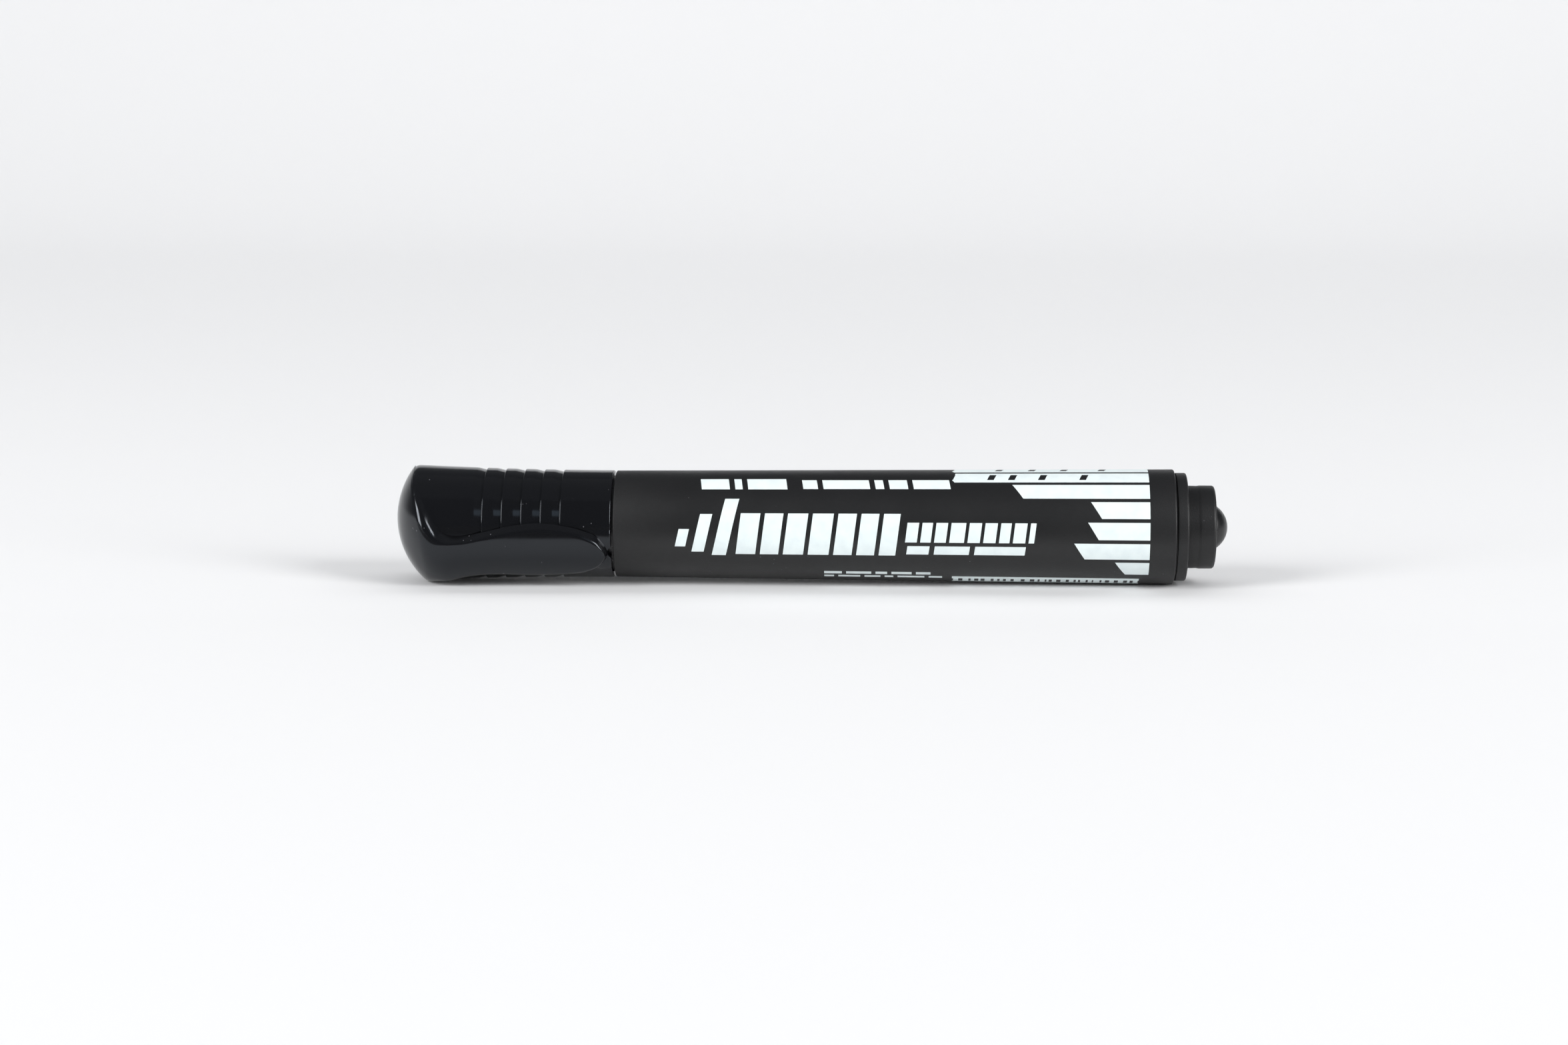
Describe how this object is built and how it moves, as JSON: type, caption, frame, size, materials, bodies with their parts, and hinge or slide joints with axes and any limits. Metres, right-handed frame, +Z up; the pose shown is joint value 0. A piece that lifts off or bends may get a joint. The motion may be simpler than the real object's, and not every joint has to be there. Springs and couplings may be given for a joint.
{
  "type": "felt tip marker",
  "caption": "Permanent felt tip marker with a bevelled nib, tapered barrel, rear post and a pull-off cap with a pocket clip.",
  "frame": {"origin": "on the surface the marker lies on, under the middle of its bounding box", "axes": "+X along the marker from the closed end of the cap to the rear of the barrel, +Z up, with the clip facing -Y and a little down"},
  "size_m": [0.137, 0.0209, 0.0191],
  "materials": {
    "cap_gloss_black": "polished moulded plastic, black",
    "barrel_satin_black": "fine-textured satin moulded plastic, black",
    "button_gloss_black": "polished moulded plastic, black",
    "print_white": "white printed ink film, slightly bluish",
    "liner_natural": "natural translucent plastic",
    "section_black": "smooth black moulded plastic",
    "nib_felt": "hard felt soaked in black ink",
    "reservoir_fibre": "bundled fibres soaked in black ink",
    "film_clear": "thin clear film"
  },
  "bodies": {
    "barrel": {"barrel": "barrel_satin_black", "front_section": "section_black", "nib": "nib_felt", "ink_reservoir": "reservoir_fibre", "reservoir_film": "film_clear", "rear_plug": "barrel_satin_black", "end_button": "button_gloss_black"},
    "liner": {"cap_liner": "liner_natural"},
    "cap": {"cap_shell": "cap_gloss_black"},
    "clip": {"pocket_clip": "cap_gloss_black"}
  },
  "joints": [
    {"name": "cap_pull", "type": "slide", "parent": "barrel", "child": "liner", "axis": [-1, 0, 0], "range_m": [0, 0.045]},
    {"name": "cap_turn", "type": "hinge", "parent": "liner", "child": "cap", "pos_m": [-0.048, 0.00089, 0.00961], "axis": [1, 0, 0], "continuous": true},
    {"name": "clip_flex", "type": "hinge", "parent": "cap", "child": "clip", "pos_m": [-0.0575, -0.00837, 0.0056], "axis": [0, 0.3971, -0.9178], "range_deg": [0, 6], "stiffness_Nm_per_rad": 0.8}
  ]
}
